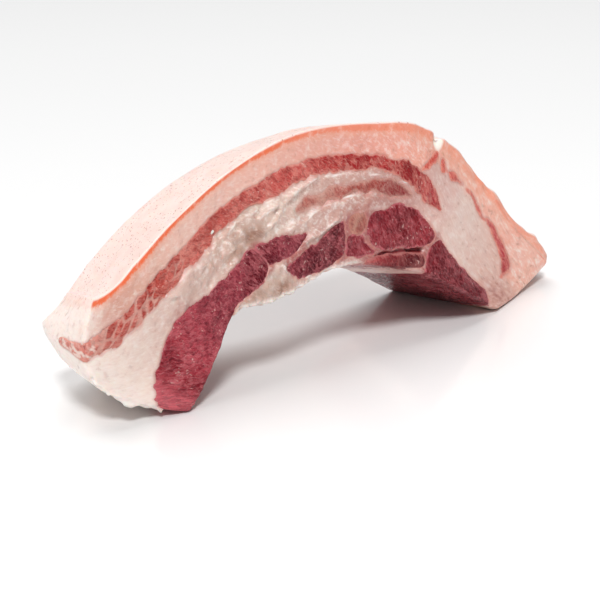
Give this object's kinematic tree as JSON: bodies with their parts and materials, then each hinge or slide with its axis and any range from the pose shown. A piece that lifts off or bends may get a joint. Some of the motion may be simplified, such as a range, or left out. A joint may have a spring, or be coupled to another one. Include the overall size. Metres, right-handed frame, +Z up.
{
  "type": "pork belly slab",
  "caption": "Thick slice of raw pork belly with rind, standing as a low arch on its two ends, its cut face showing layers of fat and lean.",
  "frame": {"origin": "on the table under the middle of the slab's box", "axes": "+X along the slab from its thick left end to its tapered right end, -Y the side of the cut face, +Z up"},
  "size_m": [0.2188, 0.0588, 0.0788],
  "materials": {
    "rind_fat": "raw pork rind and back fat, pale pink, moist satin",
    "fat": "raw pork fat, creamy white, moist satin",
    "lean": "raw pork lean, dark rose red, wet",
    "pale_lean": "raw pale lean mixed with fat, pink-brown, wet",
    "membrane": "thin flap of lean and membrane, reddish pink, wet"
  },
  "bodies": {
    "root": {"fat_outer_with_rind": "rind_fat", "lean_outer": "lean", "lean_outer_tail": "lean", "fat_middle": "fat", "lean_lens": "pale_lean", "lean_inner_left": "lean", "lean_inner_fold": "lean", "lean_inner_middle": "lean", "lean_nodule": "pale_lean", "lean_inner_small": "lean", "lean_inner_right": "lean", "lean_inner_tail": "lean", "fat_inner": "fat", "loose_flap": "membrane"}
  },
  "joints": []
}
